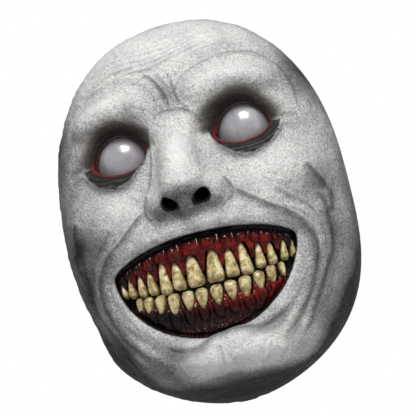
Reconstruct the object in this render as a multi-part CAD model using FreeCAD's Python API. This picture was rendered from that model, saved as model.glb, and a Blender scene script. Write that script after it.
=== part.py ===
"""Latex grinning-ghoul face mask: hollow latex skin, domed eyes, gums with separate teeth, elastic strap.

Frame, in millimetres: the origin is the centre of the open back, in the plane of the rim, at eye level.
The face looks along -Y, +Z is up, and +X is the right of someone facing the mask. The wearer's head comes
in along -Y.
"""
import FreeCAD, Part

import math
import os

Vec = FreeCAD.Vector

# Skin: the face outline in the rim plane, and how far the plain shell stands out in front of it
HALF_WIDTH = 99.5
WIDEST_Z = -45.0
CROWN_RISE = 134.0
CHIN_DROP = 133.5
SHELL_DEPTH = 56.0
SKIN = 3.0
SECTION_POWER = 2.2
POLE_GAP = 0.35          # the shell's sections stop this far short of its top and bottom points
BACK_REACH = 5.0         # how far a cutting copy of the shell runs on behind the rim
FAR_SIDE, FAR_FRONT = 100.0, -90.0    # beyond the mask's sides and nose, for cutting boxes

# Features of the face: height above the plain shell, centre x, centre z, spread x, spread z
BUMPS = [
    (5.0, 38.0, 25.0, 24.0, 9.0),      # brow ridges
    (-13.0, 43.0, -3.0, 22.0, 16.0),   # eye sockets
    (7.0, 62.0, -42.0, 20.0, 17.0),    # cheekbones
    (-5.0, 76.0, -84.0, 9.0, 26.0),    # hollow behind the smile folds
    (3.5, 72.0, -95.0, 5.0, 25.0),     # smile folds
    (9.0, 13.0, -152.0, 24.0, 14.0),   # chin
]
MOUTH_SWELL, MOUTH_SWELL_X, MOUTH_SWELL_Z = 9.0, 58.0, 44.0

# Nose: z, spread and front y of each bell-shaped level section, then the wings
NOSE_LEVELS = [
    (22.0, 10.0, -51.0),
    (8.0, 10.5, -54.0),
    (-8.0, 11.5, -61.5),
    (-26.0, 14.0, -73.0),
    (-38.0, 16.0, -81.0),
    (-47.0, 17.0, -81.0),
    (-55.0, 16.0, -74.5),
    (-60.5, 13.5, -64.0),
]
NOSE_BACK_Y = -45.0
NOSE_REACH = 1.7         # half width of a section, in spreads
NOSE_BELL_POWER = 3.0
NOSE_HOLLOW = slice(2, 6)    # the levels that are hollow behind
WING_AT = Vec(16.5, -60.0, -51.0)
WING_R = 9.8
NOSTRIL_AT = Vec(10.3, -68.0, -57.0)
NOSTRIL_R = 4.5
NOSTRIL_LENGTH = 30.0
NOSTRIL_AIM = Vec(0, -0.62, -0.78)

# Eyes
EYE_AT = Vec(42.4, -16.0, -4.0)
EYE_R = 23.0
EYE_WALL = 1.4
EYE_BACK_Y = -24.0
LID_R = 25.6
LID_BACK_Y = -28.0
EYE_FIT = 0.02
EYE_HALF_WIDTH, EYE_CORNER_Z, EYE_RISE, EYE_DROP = 18.0, -8.5, 18.3, 8.0
SEAL_WIDTH = 1.6
SEAL_FRONT_Y = -43.0

# Mouth opening
MOUTH_HALF_WIDTH, MOUTH_CORNER_Z, MOUTH_RISE, MOUTH_DROP = 60.0, -87.5, 13.5, 51.0
OUTLINE_POWER = 1.7

# Gums: two bands whose backs and teeth follow one ellipse, behind the mouth opening
ARCH_Y = -18.0
ARCH_HALF_WIDTH = 75.0
ARCH_DEPTH = 42.0
GUM_WALL = 7.0
GUM_REACH_X = 70.0
GUM_BACK_Y = -19.0
UPPER_GUM_Z = (-68.5, -98.0)
LOWER_GUM_Z = (-113.5, -145.0)
SCREEN_WALL = 0.8

# Teeth, from the middle outwards: name, x, width, root z, biting-edge z, lean in degrees
UPPER_TEETH = [
    ("central_incisor", 6.4, 11.8, -83.6, -105.4, -2.0),
    ("lateral_incisor", 17.4, 9.4, -85.4, -104.8, 3.0),
    ("canine", 26.7, 9.2, -83.0, -105.4, 4.0),
    ("first_premolar", 35.5, 8.0, -86.4, -103.2, 5.0),
    ("second_premolar", 43.3, 7.7, -87.0, -102.2, 5.0),
    ("first_molar", 50.6, 6.8, -87.4, -101.0, 5.0),
    ("second_molar", 56.0, 4.8, -88.4, -99.8, 3.0),
]
LOWER_TEETH = [
    ("central_incisor", 4.9, 8.6, -123.2, -108.2, 2.0),
    ("lateral_incisor", 14.0, 8.8, -122.8, -107.6, -3.0),
    ("canine", 23.4, 9.2, -123.2, -107.0, -5.0),
    ("first_premolar", 32.4, 8.6, -120.0, -105.8, -6.0),
    ("second_premolar", 40.7, 8.0, -117.6, -104.2, -6.0),
    ("first_molar", 47.4, 6.0, -114.2, -103.0, -4.0),
]
TOOTH_SHAPE = [(0.0, 0.16), (0.22, 0.44), (0.5, 0.78), (0.8, 0.97), (0.95, 0.92), (1.0, 0.74)]
TOOTH_THICKNESS = 7.4
OVAL_POINTS = 12
TOOTH_STAND_OFF = 1.8    # how far a tooth's middle stands in front of the gum's middle line

# Strap, its end tabs and rivets
PIVOT_Y, PIVOT_Z = 10.0, 8.0
STRAP_WIDTH, STRAP_WALL = 20.0, 1.6
STRAP_X = 82.8           # inner face of the strap's straight sides
STRAP_BEND_R = 40.0
STRAP_BACK_Y = 62.0
STRAP_END_R = STRAP_WIDTH / 2
TAB_WALL = 1.6
TAB_GAP = 0.1
TAB_FRONT_Y = -24.0
TAB_HALF_HEIGHT = 11.0
TAB_GLUE_HALF_HEIGHT = 17.0
RIVET_R, RIVET_HEAD_R, RIVET_HEAD = 2.0, 5.0, 1.3
RIVET_CLEARANCE = 0.06
RIVET_ROUNDING = 0.5


def save(name, shape):
    """Write one sub-part to parts/NAME.step, after checking that it is sound."""
    solids = shape.Solids
    if not solids or not all(s.isValid() and s.Volume > 0 for s in solids):
        raise ValueError(name + " is not a sound solid")
    body = solids[0] if len(solids) == 1 else Part.makeCompound(solids)
    body.exportStep("parts/" + name + ".step")
    box = body.BoundBox
    print("%-30s %2d solid %9.1f mm3  x %.1f..%.1f  y %.1f..%.1f  z %.1f..%.1f" % (
        name, len(solids), body.Volume, box.XMin, box.XMax, box.YMin, box.YMax, box.ZMin, box.ZMax))


def mirrored(shape):
    """The same shape on the other side of the face."""
    return shape.mirror(Vec(0, 0, 0), Vec(1, 0, 0))


def both_sides(name, shape):
    """Save a piece of the right-hand side and its mirror image."""
    save(name + "_right", shape)
    save(name + "_left", mirrored(shape))


def outline_share(u, power_in, power_out):
    """Height of a superellipse at u, a share of its half width."""
    return max(0.0, 1.0 - abs(u) ** power_in) ** (1.0 / power_out)


def shell_size(z, inset):
    """Half width and depth of the shell's level section at z, for the shell shrunk by inset."""
    if z >= WIDEST_Z:
        u = (z - WIDEST_Z) / (CROWN_RISE - inset)
        return ((HALF_WIDTH - inset) * outline_share(u, 2.4, 2.1),
                (SHELL_DEPTH - inset) * outline_share(u, 3.0, 2.0))
    u = (WIDEST_Z - z) / (CHIN_DROP - inset)
    return ((HALF_WIDTH - inset) * outline_share(u, 3.2, 1.7),
            (SHELL_DEPTH - inset) * outline_share(u, 9.0, 2.0))


def relief(x, z):
    """How far the features stand out from the plain shell at x, z."""
    total = 0.0
    for height, cx, cz, sx, sz in BUMPS:
        total += height * math.exp(-((abs(x) - cx) / sx) ** 2 - ((z - cz) / sz) ** 2)
    mouth_z = MOUTH_CORNER_Z + (MOUTH_RISE - MOUTH_DROP) / 2
    swell = (x / MOUTH_SWELL_X) ** 2 + ((z - mouth_z) / MOUTH_SWELL_Z) ** 2
    return total + MOUTH_SWELL * math.exp(-swell)


def shell_point(angle, z, inset):
    """A point of the shell: angle runs from the right-hand rim over the front to the left-hand rim."""
    width, depth = shell_size(z, inset)
    across = math.cos(angle)
    forward = outline_share(across, SECTION_POWER, 2.0)
    x = width * across
    edge = min(1.0, depth / SHELL_DEPTH * 1.6)
    return Vec(x, -forward * (depth + edge * relief(x, z) * forward), z)


def shell_heights(inset):
    """Heights of the shell's level sections, closer together towards the crown and the chin."""
    steps = 22
    up, down = CROWN_RISE - inset, CHIN_DROP - inset
    top = math.asin(1 - POLE_GAP / up)
    bottom = math.asin(1 - POLE_GAP / down)
    low = [WIDEST_Z - down * math.sin(bottom * k / steps) for k in range(steps, 0, -1)]
    high = [WIDEST_Z + up * math.sin(top * k / steps) for k in range(steps + 1)]
    return low + high


def shell_solid(inset, back=0.0):
    """The solid between the shell shrunk by inset and the rim plane, taken on backwards by back."""
    columns = 45
    angles = [math.pi * k / (columns - 1) for k in range(columns)]
    rows = [[shell_point(a, z, inset) for a in angles] for z in shell_heights(inset)]
    for row in rows:
        row[0].y = 0.0
        row[-1].y = 0.0
    surface = Part.BSplineSurface()
    surface.interpolate(rows)
    front = surface.toShape()
    loops = Part.sortEdges([e for e in front.Edges if e.Length > 1e-3])[0]
    caps = []
    for z in (rows[0][0].z, rows[-1][0].z):
        arc = [e for e in loops if abs(e.BoundBox.ZMin - z) < 1e-4 and abs(e.BoundBox.ZMax - z) < 1e-4][0]
        ends = [v.Point for v in arc.Vertexes]
        chord = Part.makeLine(ends[0], ends[-1])
        caps.append(Part.Face(Part.Wire([arc, chord])))
    chords = [e for c in caps for e in c.Edges if e.BoundBox.YLength < 1e-6]
    sides = [e for e in loops if e.BoundBox.ZLength > 10]
    rear = Part.Face(Part.Wire(Part.sortEdges(sides + chords)[0]))
    skin = Part.makeShell([front, rear] + caps)
    skin.sewShape()
    solid = Part.makeSolid(Part.Shell(skin.Faces))
    if solid.Volume < 0:
        solid.reverse()
    if back:
        solid = solid.fuse(rear.extrude(Vec(0, back, 0))).removeSplitter()
    return solid


def ball(centre, radius):
    return Part.makeSphere(radius, centre)


def slab(x0, x1, y0, y1, z0, z1):
    return Part.makeBox(x1 - x0, y1 - y0, z1 - z0, Vec(x0, y0, z0))


def nose_solid(levels, inset):
    """Bridge and tip of the nose through the given levels, shrunk by inset."""
    wires = []
    steps = 12
    for z, spread, front in levels:
        width = spread - inset / 2
        height = NOSE_BACK_Y - front - inset
        points = []
        for k in range(steps + 1):
            u = NOSE_REACH * (2 * k / steps - 1)
            rise = height * math.exp(-abs(u) ** NOSE_BELL_POWER)
            points.append(Vec(width * u, NOSE_BACK_Y - rise, z))
        bell = Part.BSplineCurve()
        bell.interpolate(points)
        base = Part.makeLine(points[-1], points[0])
        wires.append(Part.Wire([bell.toShape(), base]))
    nose = Part.makeLoft(wires, True, False)
    if nose.Volume < 0:
        nose.reverse()
    return nose


def pierced_outline(half, corner_z, rise, drop, power, grow=0.0):
    """A closed outline in the XZ plane: one arch up and one down from two corners."""
    steps = 10
    loop = []
    for sign, height in ((1, rise + grow), (-1, drop + grow)):
        turn = [math.pi * k / steps for k in range(steps + 1)]
        if sign < 0:
            turn.reverse()
        points = []
        for t in turn:
            u = math.cos(t)
            rise = sign * height * outline_share(u, 2.0, power)
            points.append(Vec((half + grow) * u, 0, corner_z + rise))
        curve = Part.BSplineCurve()
        curve.interpolate(points)
        loop.append(curve.toShape())
    return Part.Face(Part.Wire(Part.sortEdges(loop)[0]))


def eye_column(grow, y0, y1):
    """The eye opening's outline, grown by grow, as a column along Y."""
    face = pierced_outline(EYE_HALF_WIDTH, EYE_CORNER_Z, EYE_RISE, EYE_DROP, OUTLINE_POWER, grow)
    face.translate(Vec(EYE_AT.x, y0, 0))
    return face.extrude(Vec(0, y1 - y0, 0))


def make_eye():
    """The milky dome, open at its back, and the red seal between it and the lids."""
    dome = ball(EYE_AT, EYE_R).cut(ball(EYE_AT, EYE_R - EYE_WALL))
    dome = dome.common(slab(0, FAR_SIDE, FAR_FRONT, EYE_BACK_Y, EYE_AT.z - LID_R, EYE_AT.z + LID_R))
    ring = eye_column(0.0, SEAL_FRONT_Y, EYE_BACK_Y - SEAL_WIDTH).cut(eye_column(-SEAL_WIDTH, FAR_FRONT, 0))
    ring = ring.common(ball(EYE_AT, LID_R)).cut(ball(EYE_AT, EYE_R + EYE_FIT))
    return dome, ring


def arch_column(shrink, z0, z1):
    """Everything behind the dental arch, shrunk by shrink, between two heights."""
    oval = Part.Ellipse(Vec(ARCH_HALF_WIDTH - shrink, 0, 0), Vec(0, ARCH_DEPTH - shrink, 0), Vec(0, 0, 0))
    disc = Part.Face(Part.Wire(oval.toShape()))
    disc.translate(Vec(0, ARCH_Y, z0))
    return disc.extrude(Vec(0, 0, z1 - z0))


def tooth(x, width, root_z, bite_z, lean):
    """One tooth: level ovals lofted from its narrow root to its biting edge, set square to the arch."""
    wires = []
    for along, share in TOOTH_SHAPE:
        half = width / 2 * share
        deep = TOOTH_THICKNESS / 2 * (0.45 + 0.55 * math.sin(math.pi * min(1.0, 0.25 + along * 0.62)))
        if along > 0.9:
            deep *= 0.72
        turns = [2 * math.pi * k / OVAL_POINTS for k in range(OVAL_POINTS)]
        z = (bite_z - root_z) * along
        oval = Part.BSplineCurve()
        oval.interpolate([Vec(half * math.cos(t), deep * math.sin(t), z) for t in turns], True)
        wires.append(Part.Wire(oval.toShape()))
    shape = Part.makeLoft(wires, True, False)
    if shape.Volume < 0:
        shape.reverse()
    shape.rotate(Vec(0, 0, bite_z - root_z), Vec(0, 1, 0), lean)
    u = x / ARCH_HALF_WIDTH
    y = ARCH_Y - ARCH_DEPTH * math.sqrt(1 - u * u)
    slope = math.degrees(math.atan2(ARCH_DEPTH * u, ARCH_HALF_WIDTH * math.sqrt(1 - u * u)))
    shape.rotate(Vec(0, 0, 0), Vec(0, 0, 1), slope)
    normal = Vec(math.sin(math.radians(slope)), -math.cos(math.radians(slope)), 0)
    shape.translate(Vec(x, y, root_z) + normal * (TOOTH_STAND_OFF - GUM_WALL / 2))
    return shape


def make_teeth():
    """All teeth by node name."""
    teeth = {}
    for jaw, rows in (("upper", UPPER_TEETH), ("lower", LOWER_TEETH)):
        for name, x, width, root_z, bite_z, lean in rows:
            shape = tooth(x, width, root_z, bite_z, lean)
            teeth["%s_%s_right" % (jaw, name)] = shape
            teeth["%s_%s_left" % (jaw, name)] = mirrored(shape)
    return teeth


def make_gums(teeth, inner):
    """Upper and lower gum: each fills the mask from the lips back to the arch, with a socket per tooth."""
    gums = []
    for jaw, (top, bottom) in (("upper", UPPER_GUM_Z), ("lower", LOWER_GUM_Z)):
        gum = inner.common(slab(-GUM_REACH_X, GUM_REACH_X, FAR_FRONT, GUM_BACK_Y, bottom, top))
        gum = gum.cut(arch_column(GUM_WALL, bottom - 1, top + 1))
        for name, shape in teeth.items():
            if name.startswith(jaw):
                gum = gum.cut(shape)
        gums.append(gum)
    return gums


def make_screen(inner):
    """Black gauze glued over the backs of both gums, which closes the gap between the rows of teeth."""
    low, high = LOWER_GUM_Z[1], UPPER_GUM_Z[0]
    screen = arch_column(GUM_WALL, low, high).cut(arch_column(GUM_WALL + SCREEN_WALL, low, high))
    screen = screen.common(slab(-GUM_REACH_X, GUM_REACH_X, FAR_FRONT, GUM_BACK_Y, low, high))
    return screen.common(inner)


def make_skin(inner):
    """The latex casting: hollow shell, nose, lids, and its eye, nostril and mouth openings."""
    wing = ball(WING_AT, WING_R)
    skin = shell_solid(0.0).fuse([nose_solid(NOSE_LEVELS, 0.0), wing, mirrored(wing)])
    skin = skin.cut(inner).cut(nose_solid(NOSE_LEVELS[NOSE_HOLLOW], SKIN))
    lid_box = slab(0, FAR_SIDE, FAR_FRONT, LID_BACK_Y, EYE_AT.z - 2 * LID_R, EYE_AT.z + 2 * LID_R)
    lid = ball(EYE_AT, LID_R).common(lid_box)
    skin = skin.fuse([lid, mirrored(lid)])
    seat = ball(EYE_AT, EYE_R + EYE_FIT)
    column = eye_column(0.0, FAR_FRONT, 0)
    bore_end = NOSTRIL_AT - NOSTRIL_AIM * (NOSTRIL_LENGTH / 2)
    nostril = Part.makeCylinder(NOSTRIL_R, NOSTRIL_LENGTH, bore_end, NOSTRIL_AIM)
    mouth = pierced_outline(MOUTH_HALF_WIDTH, MOUTH_CORNER_Z, MOUTH_RISE, MOUTH_DROP, OUTLINE_POWER)
    mouth.translate(Vec(0, FAR_FRONT, 0))
    mouth = mouth.extrude(Vec(0, -FAR_FRONT, 0))
    for tool in (seat, column, nostril):
        skin = skin.cut([tool, mirrored(tool)])
    skin = skin.cut(mouth)
    return max(skin.Solids, key=lambda s: s.Volume)


def make_strap():
    """Elastic band in one U from tab to tab, with a rounded, pierced end at each pivot."""
    bend_y = STRAP_BACK_Y - STRAP_BEND_R
    bend_x = STRAP_X - STRAP_BEND_R

    def run(shift):
        r = STRAP_BEND_R + shift
        x, back = bend_x + r, bend_y + r
        corner = r * math.sqrt(0.5)
        half_way = Vec(bend_x + corner, bend_y + corner, 0)
        left = Part.Arc(Vec(-x, bend_y, 0), Vec(-half_way.x, half_way.y, 0), Vec(-bend_x, back, 0))
        right = Part.Arc(Vec(bend_x, back, 0), half_way, Vec(x, bend_y, 0))
        return x, [
            Part.LineSegment(Vec(-x, start_y, 0), Vec(-x, bend_y, 0)).toShape(),
            left.toShape(),
            Part.LineSegment(Vec(-bend_x, back, 0), Vec(bend_x, back, 0)).toShape(),
            right.toShape(),
            Part.LineSegment(Vec(x, bend_y, 0), Vec(x, start_y, 0)).toShape(),
        ]

    start_y = PIVOT_Y - STRAP_END_R
    inner_x, inner_run = run(0.0)
    outer_x, outer_run = run(STRAP_WALL)
    ends = [Part.makeLine(Vec(s * inner_x, start_y, 0), Vec(s * outer_x, start_y, 0)) for s in (-1, 1)]
    band = Part.Face(Part.Wire(Part.sortEdges(inner_run + outer_run + ends)[0]))
    band.translate(Vec(0, 0, PIVOT_Z - STRAP_WIDTH / 2))
    band = band.extrude(Vec(0, 0, STRAP_WIDTH))
    along_x = Vec(1, 0, 0)
    left_end = Vec(-FAR_SIDE, PIVOT_Y, PIVOT_Z)
    half_width = STRAP_WIDTH / 2
    ends_box = slab(-FAR_SIDE, FAR_SIDE, start_y, PIVOT_Y, PIVOT_Z - half_width, PIVOT_Z + half_width)
    round_off = ends_box.cut(Part.makeCylinder(STRAP_END_R, 2 * FAR_SIDE, left_end, along_x))
    hole = Part.makeCylinder(RIVET_R + RIVET_CLEARANCE, 2 * FAR_SIDE, left_end, along_x)
    return band.cut([round_off, hole])


def make_tab(inner):
    """Tab glued inside the wall, with a flat ear behind the rim that takes the rivet."""
    ear_x = STRAP_X + STRAP_WALL + TAB_GAP
    glue_low, glue_high = PIVOT_Z - TAB_GLUE_HALF_HEIGHT, PIVOT_Z + TAB_GLUE_HALF_HEIGHT
    ear_low, ear_high = PIVOT_Z - TAB_HALF_HEIGHT, PIVOT_Z + TAB_HALF_HEIGHT
    glued = inner.cut(shell_solid(SKIN + TAB_WALL, BACK_REACH))
    glued = glued.common(slab(0, FAR_SIDE, TAB_FRONT_Y, 0.0, glue_low, glue_high))
    ear = slab(ear_x, ear_x + TAB_WALL, TAB_FRONT_Y, PIVOT_Y, ear_low, ear_high).common(inner)
    tip = Part.makeCylinder(TAB_HALF_HEIGHT, TAB_WALL, Vec(ear_x, PIVOT_Y, PIVOT_Z), Vec(1, 0, 0))
    hole = Part.makeCylinder(RIVET_R, FAR_SIDE, Vec(0, PIVOT_Y, PIVOT_Z), Vec(1, 0, 0))
    return glued.fuse([ear, tip]).cut(hole).removeSplitter(), ear_x


def make_rivet(ear_x):
    """Rivet head and post on the inside of the strap, and the washer that its end is set over."""
    along_x = Vec(1, 0, 0)
    head_x = STRAP_X - TAB_GAP - RIVET_HEAD
    post_end = ear_x + TAB_WALL + RIVET_HEAD
    head = Part.makeCylinder(RIVET_HEAD_R, RIVET_HEAD, Vec(head_x, PIVOT_Y, PIVOT_Z), along_x)
    exposed = [edge for edge in head.Edges if edge.BoundBox.XMax < head_x + TAB_GAP]
    head = head.makeFillet(RIVET_ROUNDING, exposed)
    post = Part.makeCylinder(RIVET_R, post_end - head_x, Vec(head_x, PIVOT_Y, PIVOT_Z), along_x)
    washer = Part.makeCylinder(RIVET_HEAD_R, RIVET_HEAD, Vec(ear_x + TAB_WALL, PIVOT_Y, PIVOT_Z), along_x)
    return head.fuse(post).removeSplitter(), washer.cut(post)


def main():
    os.makedirs("parts", exist_ok=True)
    teeth = make_teeth()
    inner = shell_solid(SKIN, BACK_REACH)
    gums = make_gums(teeth, inner)
    save("face_skin", make_skin(inner))
    dome, seal = make_eye()
    both_sides("eye_dome", dome)
    both_sides("eye_seal", seal)
    save("upper_gum", gums[0])
    save("lower_gum", gums[1])
    save("mouth_screen", make_screen(inner))
    for name, shape in teeth.items():
        save(name, shape)
    tab, ear_x = make_tab(inner)
    rivet, washer = make_rivet(ear_x)
    both_sides("strap_tab", tab)
    both_sides("rivet", rivet)
    both_sides("rivet_washer", washer)
    save("elastic_strap", make_strap())


main()
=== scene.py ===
"""The looks of the latex ghoul mask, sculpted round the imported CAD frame.

Sculpting is done in millimetres, in the row frame (face along -Y, +Z up), as signed-distance fields that are
meshed with openvdb; every mesh is then scaled to metres.
What is drawn for the right is mirrored to the left.
"""

import math

import bmesh
import bpy
import numpy as np
import openvdb
from mathutils import Matrix, Vector


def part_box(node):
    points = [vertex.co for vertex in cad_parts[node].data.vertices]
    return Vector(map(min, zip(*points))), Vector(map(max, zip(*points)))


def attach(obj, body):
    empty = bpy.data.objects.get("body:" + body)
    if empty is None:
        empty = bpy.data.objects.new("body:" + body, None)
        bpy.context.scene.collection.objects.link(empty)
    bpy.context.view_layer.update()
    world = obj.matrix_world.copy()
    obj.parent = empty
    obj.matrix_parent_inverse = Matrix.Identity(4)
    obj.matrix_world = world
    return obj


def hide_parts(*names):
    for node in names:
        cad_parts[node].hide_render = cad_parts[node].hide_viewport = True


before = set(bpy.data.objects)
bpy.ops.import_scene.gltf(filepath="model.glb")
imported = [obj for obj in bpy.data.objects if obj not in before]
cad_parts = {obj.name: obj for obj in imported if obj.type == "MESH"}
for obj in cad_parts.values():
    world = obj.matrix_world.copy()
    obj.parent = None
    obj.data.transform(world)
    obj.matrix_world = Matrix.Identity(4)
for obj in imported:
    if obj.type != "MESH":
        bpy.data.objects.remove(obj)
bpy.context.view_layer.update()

MM = 0.001
MASK_BODY = "mask"
STRAP_BODY = "strap"
SIDES = (("right", 1), ("left", -1))

# Camera: how the face is turned, tilted and rolled as the camera sees it, in degrees,
# and where the camera stands, in metres
FACE_YAW, FACE_PITCH, FACE_ROLL = -8.8, -12.8, -13.0
CAMERA_DISTANCE = 0.900
CAMERA_ASIDE, CAMERA_DOWN = 0.0119, 0.0423
LENS_MM, SENSOR_MM = 112.7, 36.0

# Studio, in metres
LIGHT_AIM = (0, -0.04, -0.04)
FLOOR_Z, FLOOR_HALF = -0.60, 6.0

# Face outline, as in the CAD
HALF_WIDTH, WIDEST_Z, CROWN_RISE, CHIN_DROP, SHELL_DEPTH = 99.5, -45.0, 134.0, 133.5, 56.0
SKIN = 3.0
# The openings are cut only in front of this Y;
# behind it their field has a value that cuts nothing
CUT_FRONT_Y, NO_CUT = -14, -50

# Openings, as in the CAD
EYE_AT = (42.4, -16.0, -4.0)
EYE_R, EYE_WALL, LID_R = 23.0, 1.4, 25.6
EYE_HALF_WIDTH, EYE_CORNER_Z, EYE_RISE, EYE_DROP = 18.0, -8.5, 18.3, 8.0
MOUTH_HALF_WIDTH, MOUTH_CORNER_Z, MOUTH_RISE, MOUTH_DROP = 60.0, -87.5, 13.5, 51.0
OUTLINE_POWER = 1.7

# Brow furrows, and the seed of the first tooth
FURROWS, FURROW_STEP = 6, 4.6
FIRST_TOOTH_SEED = 40

# Dental arch, as in the CAD
ARCH_Y, ARCH_HALF_WIDTH, ARCH_DEPTH = -18.0, 75.0, 42.0
GUM_WALL, TOOTH_THICKNESS = 7.0, 7.4
SCREEN_FRONT, SCREEN_BACK = 0.1, 0.6

# Strap, as in the CAD
STRAP_X, STRAP_BEND_R, STRAP_BACK_Y, STRAP_WIDTH, STRAP_WALL = 82.8, 40.0, 62.0, 20.0, 1.6
PIVOT_Y, PIVOT_Z = 10.0, 8.0

# Nostril: its two ends and its radius at each
NOSTRIL = ((11.2, -84, -66), (9.8, -58, -42), 4.9, 5.2)

# Sculpting grids: the value of an empty field, and the spacing of the points
FAR = 1e3
SKIN_STEP = 1.2
GUM_STEP = 0.7


# ---------------------------------------------------------------- signed-distance tools

def smooth_min(a, b, k):
    """Union of two fields with a fillet of about k."""
    h = np.clip(0.5 + 0.5 * (b - a) / k, 0, 1)
    return b + (a - b) * h - k * h * (1 - h)


def smooth_max(a, b, k):
    return -smooth_min(-a, -b, k)


def ramp(value, start, end):
    """0 before start, 1 after end, smooth between."""
    t = np.clip((value - start) / (end - start), 0, 1)
    return t * t * (3 - 2 * t)


def bell(distance, width):
    return np.exp(-(distance / width) ** 2)


class Field:
    """Signed distances, in millimetres, on a regular grid of points."""

    def __init__(self, low, high, step):
        self.low = np.array(low, float)
        self.step = step
        counts = np.ceil((np.array(high) - self.low) / step).astype(int) + 1
        self.axes = [(self.low[i] + step * np.arange(counts[i])).astype(np.float32) for i in range(3)]
        self.values = np.full(counts, FAR, np.float32)

    def grid(self, cut=(slice(None),) * 3):
        axes = [self.axes[i][cut[i]] for i in range(3)]
        return np.meshgrid(*axes, indexing="ij", sparse=True)

    def window(self, low, high):
        cut = []
        for i in range(3):
            a = int(np.clip(math.floor((low[i] - self.low[i]) / self.step), 0, len(self.axes[i]) - 1))
            b = int(np.clip(math.ceil((high[i] - self.low[i]) / self.step) + 1, a + 1, len(self.axes[i])))
            cut.append(slice(a, b))
        return tuple(cut)

    def merge(self, shape, low, high, k, carve=False, both=True):
        """Add a shape to the field within a window, or carve it away; both does it on the left side too."""
        sides = ((low, high), ((-high[0], low[1], low[2]), (-low[0], high[1], high[2])))
        for side in range(2 if both else 1):
            cut = self.window(*sides[side])
            x, y, z = self.grid(cut)
            d = shape(-x if side else x, y, z).astype(np.float32)
            old = self.values[cut]
            self.values[cut] = smooth_max(old, -d, k) if carve else smooth_min(old, d, k)

    def sample(self, points):
        """Field values at points, by straight-line interpolation."""
        p = (points - self.low) / self.step
        top = np.array(self.values.shape) - 2
        i = np.clip(np.floor(p).astype(int), 0, top)
        f = np.clip(p - i, 0, 1)
        total = np.zeros(len(p))
        for a in (0, 1):
            for b in (0, 1):
                for c in (0, 1):
                    w = abs(1 - a - f[:, 0]) * abs(1 - b - f[:, 1]) * abs(1 - c - f[:, 2])
                    total += w * self.values[i[:, 0] + a, i[:, 1] + b, i[:, 2] + c]
        return total

    def mesh(self):
        """Points in millimetres and quads of the zero surface, facing outwards."""
        grid = openvdb.FloatGrid(background=3 * self.step)
        grid.copyFromArray(np.clip(self.values, -3 * self.step, 3 * self.step))
        points, quads = grid.convertToQuads(0.0)
        return points * self.step + self.low, quads[:, ::-1]


def ellipsoid(centre, radii, lean=0.0):
    """An ellipsoid; lean turns it about Y, in degrees."""
    cl, sl = math.cos(math.radians(lean)), math.sin(math.radians(lean))

    def distance(x, y, z):
        px, py, pz = x - centre[0], y - centre[1], z - centre[2]
        px, pz = px * cl - pz * sl, px * sl + pz * cl
        near = np.sqrt((px / radii[0]) ** 2 + (py / radii[1]) ** 2 + (pz / radii[2]) ** 2)
        far = np.sqrt((px / radii[0] ** 2) ** 2 + (py / radii[1] ** 2) ** 2 + (pz / radii[2] ** 2) ** 2)
        return near * (near - 1) / np.maximum(far, 1e-6)
    return distance


def capsule(a, b, ra, rb):
    """A rod from a to b with a round end of its own radius at each."""
    a, b = np.array(a, float), np.array(b, float)
    run = b - a

    def distance(x, y, z):
        t = ((x - a[0]) * run[0] + (y - a[1]) * run[1] + (z - a[2]) * run[2]) / run.dot(run)
        t = np.clip(t, 0, 1)
        dx, dy, dz = x - a[0] - t * run[0], y - a[1] - t * run[1], z - a[2] - t * run[2]
        gap = np.sqrt(dx ** 2 + dy ** 2 + dz ** 2)
        return gap - (ra + (rb - ra) * t)
    return distance


def curve_distance(x, z, points, steps=6):
    """Distance in the XZ plane to a smooth curve through points.

    Also gives the side of it, +1 on its left, and the share along it.
    """
    p = np.array(points, float)
    padded = np.vstack([2 * p[0] - p[1], p, 2 * p[-1] - p[-2]])
    line = [p[0]]
    for i in range(len(p) - 1):
        p0, p1, p2, p3 = padded[i:i + 4]
        for k in range(1, steps + 1):
            t = k / steps
            bend = (2 * p0 - 5 * p1 + 4 * p2 - p3) * t ** 2
            line.append(0.5 * (2 * p1 + (p2 - p0) * t + bend + (3 * p1 - p0 - 3 * p2 + p3) * t ** 3))
    line = np.array(line)
    best = np.full(np.broadcast(x, z).shape, 1e9)
    side = np.zeros_like(best)
    along = np.zeros_like(best)
    for i in range(len(line) - 1):
        a, run = line[i], line[i + 1] - line[i]
        t = np.clip(((x - a[0]) * run[0] + (z - a[1]) * run[1]) / run.dot(run), 0, 1)
        dx, dz = x - a[0] - t * run[0], z - a[1] - t * run[1]
        gap = np.hypot(dx, dz)
        nearer = gap < best
        best = np.where(nearer, gap, best)
        side = np.where(nearer, np.sign(run[0] * dz - run[1] * dx), side)
        along = np.where(nearer, (i + t) / (len(line) - 1), along)
    return best, side, along


def arch_outline(half, corner_z, rise, drop):
    """The loop of one arch up and one arch down between two corners, as points in the XZ plane."""
    turn = np.linspace(0, math.pi, 33)
    u = np.cos(turn)
    share = np.maximum(0, 1 - np.abs(u) ** 2) ** (1 / OUTLINE_POWER)
    over = np.stack([half * u, corner_z + rise * share], 1)
    under = np.stack([half * u[::-1], corner_z - drop * share[::-1]], 1)
    return np.vstack([over[:-1], under[:-1]])


def loop_distance(x, z, loop):
    """Signed distance in the XZ plane to a closed loop, negative inside."""
    x, z = np.broadcast_arrays(x, z)
    best = np.full(x.shape, 1e9)
    inside = np.zeros(x.shape, bool)
    for a, b in zip(loop, np.roll(loop, -1, 0)):
        run = b - a
        t = np.clip(((x - a[0]) * run[0] + (z - a[1]) * run[1]) / run.dot(run), 0, 1)
        best = np.minimum(best, np.hypot(x - a[0] - t * run[0], z - a[1] - t * run[1]))
        crossing = (a[1] > z) != (b[1] > z)
        with np.errstate(divide="ignore", invalid="ignore"):
            at = a[0] + (z - a[1]) * run[0] / run[1]
        inside ^= crossing & (x < at)
    return np.where(inside, -best, best)


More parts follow.
